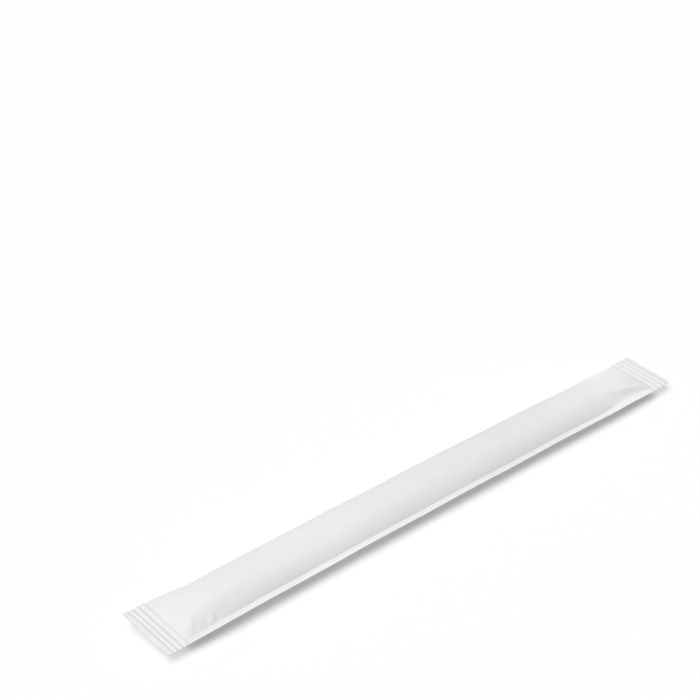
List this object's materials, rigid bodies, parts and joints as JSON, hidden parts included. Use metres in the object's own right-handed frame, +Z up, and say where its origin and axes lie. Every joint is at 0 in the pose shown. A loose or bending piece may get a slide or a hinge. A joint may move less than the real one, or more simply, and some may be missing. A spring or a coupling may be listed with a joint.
{
  "type": "wrapped drinking straw",
  "caption": "Drinking straw sealed in a flat white paper sleeve, with a folded long edge, a glued long edge and crimped ends.",
  "frame": {"origin": "On the resting surface, under the middle of the sleeve's length and width.", "axes": "+X runs along the sleeve from the end with the longer slack to the other end, +Y to the folded long edge, away from the glued one, and +Z up."},
  "size_m": [0.238, 0.025, 0.0084],
  "materials": {
    "paper": "matte uncoated white wrapping paper"
  },
  "bodies": {
    "root": {"wrapped_straw": "paper"}
  },
  "joints": []
}
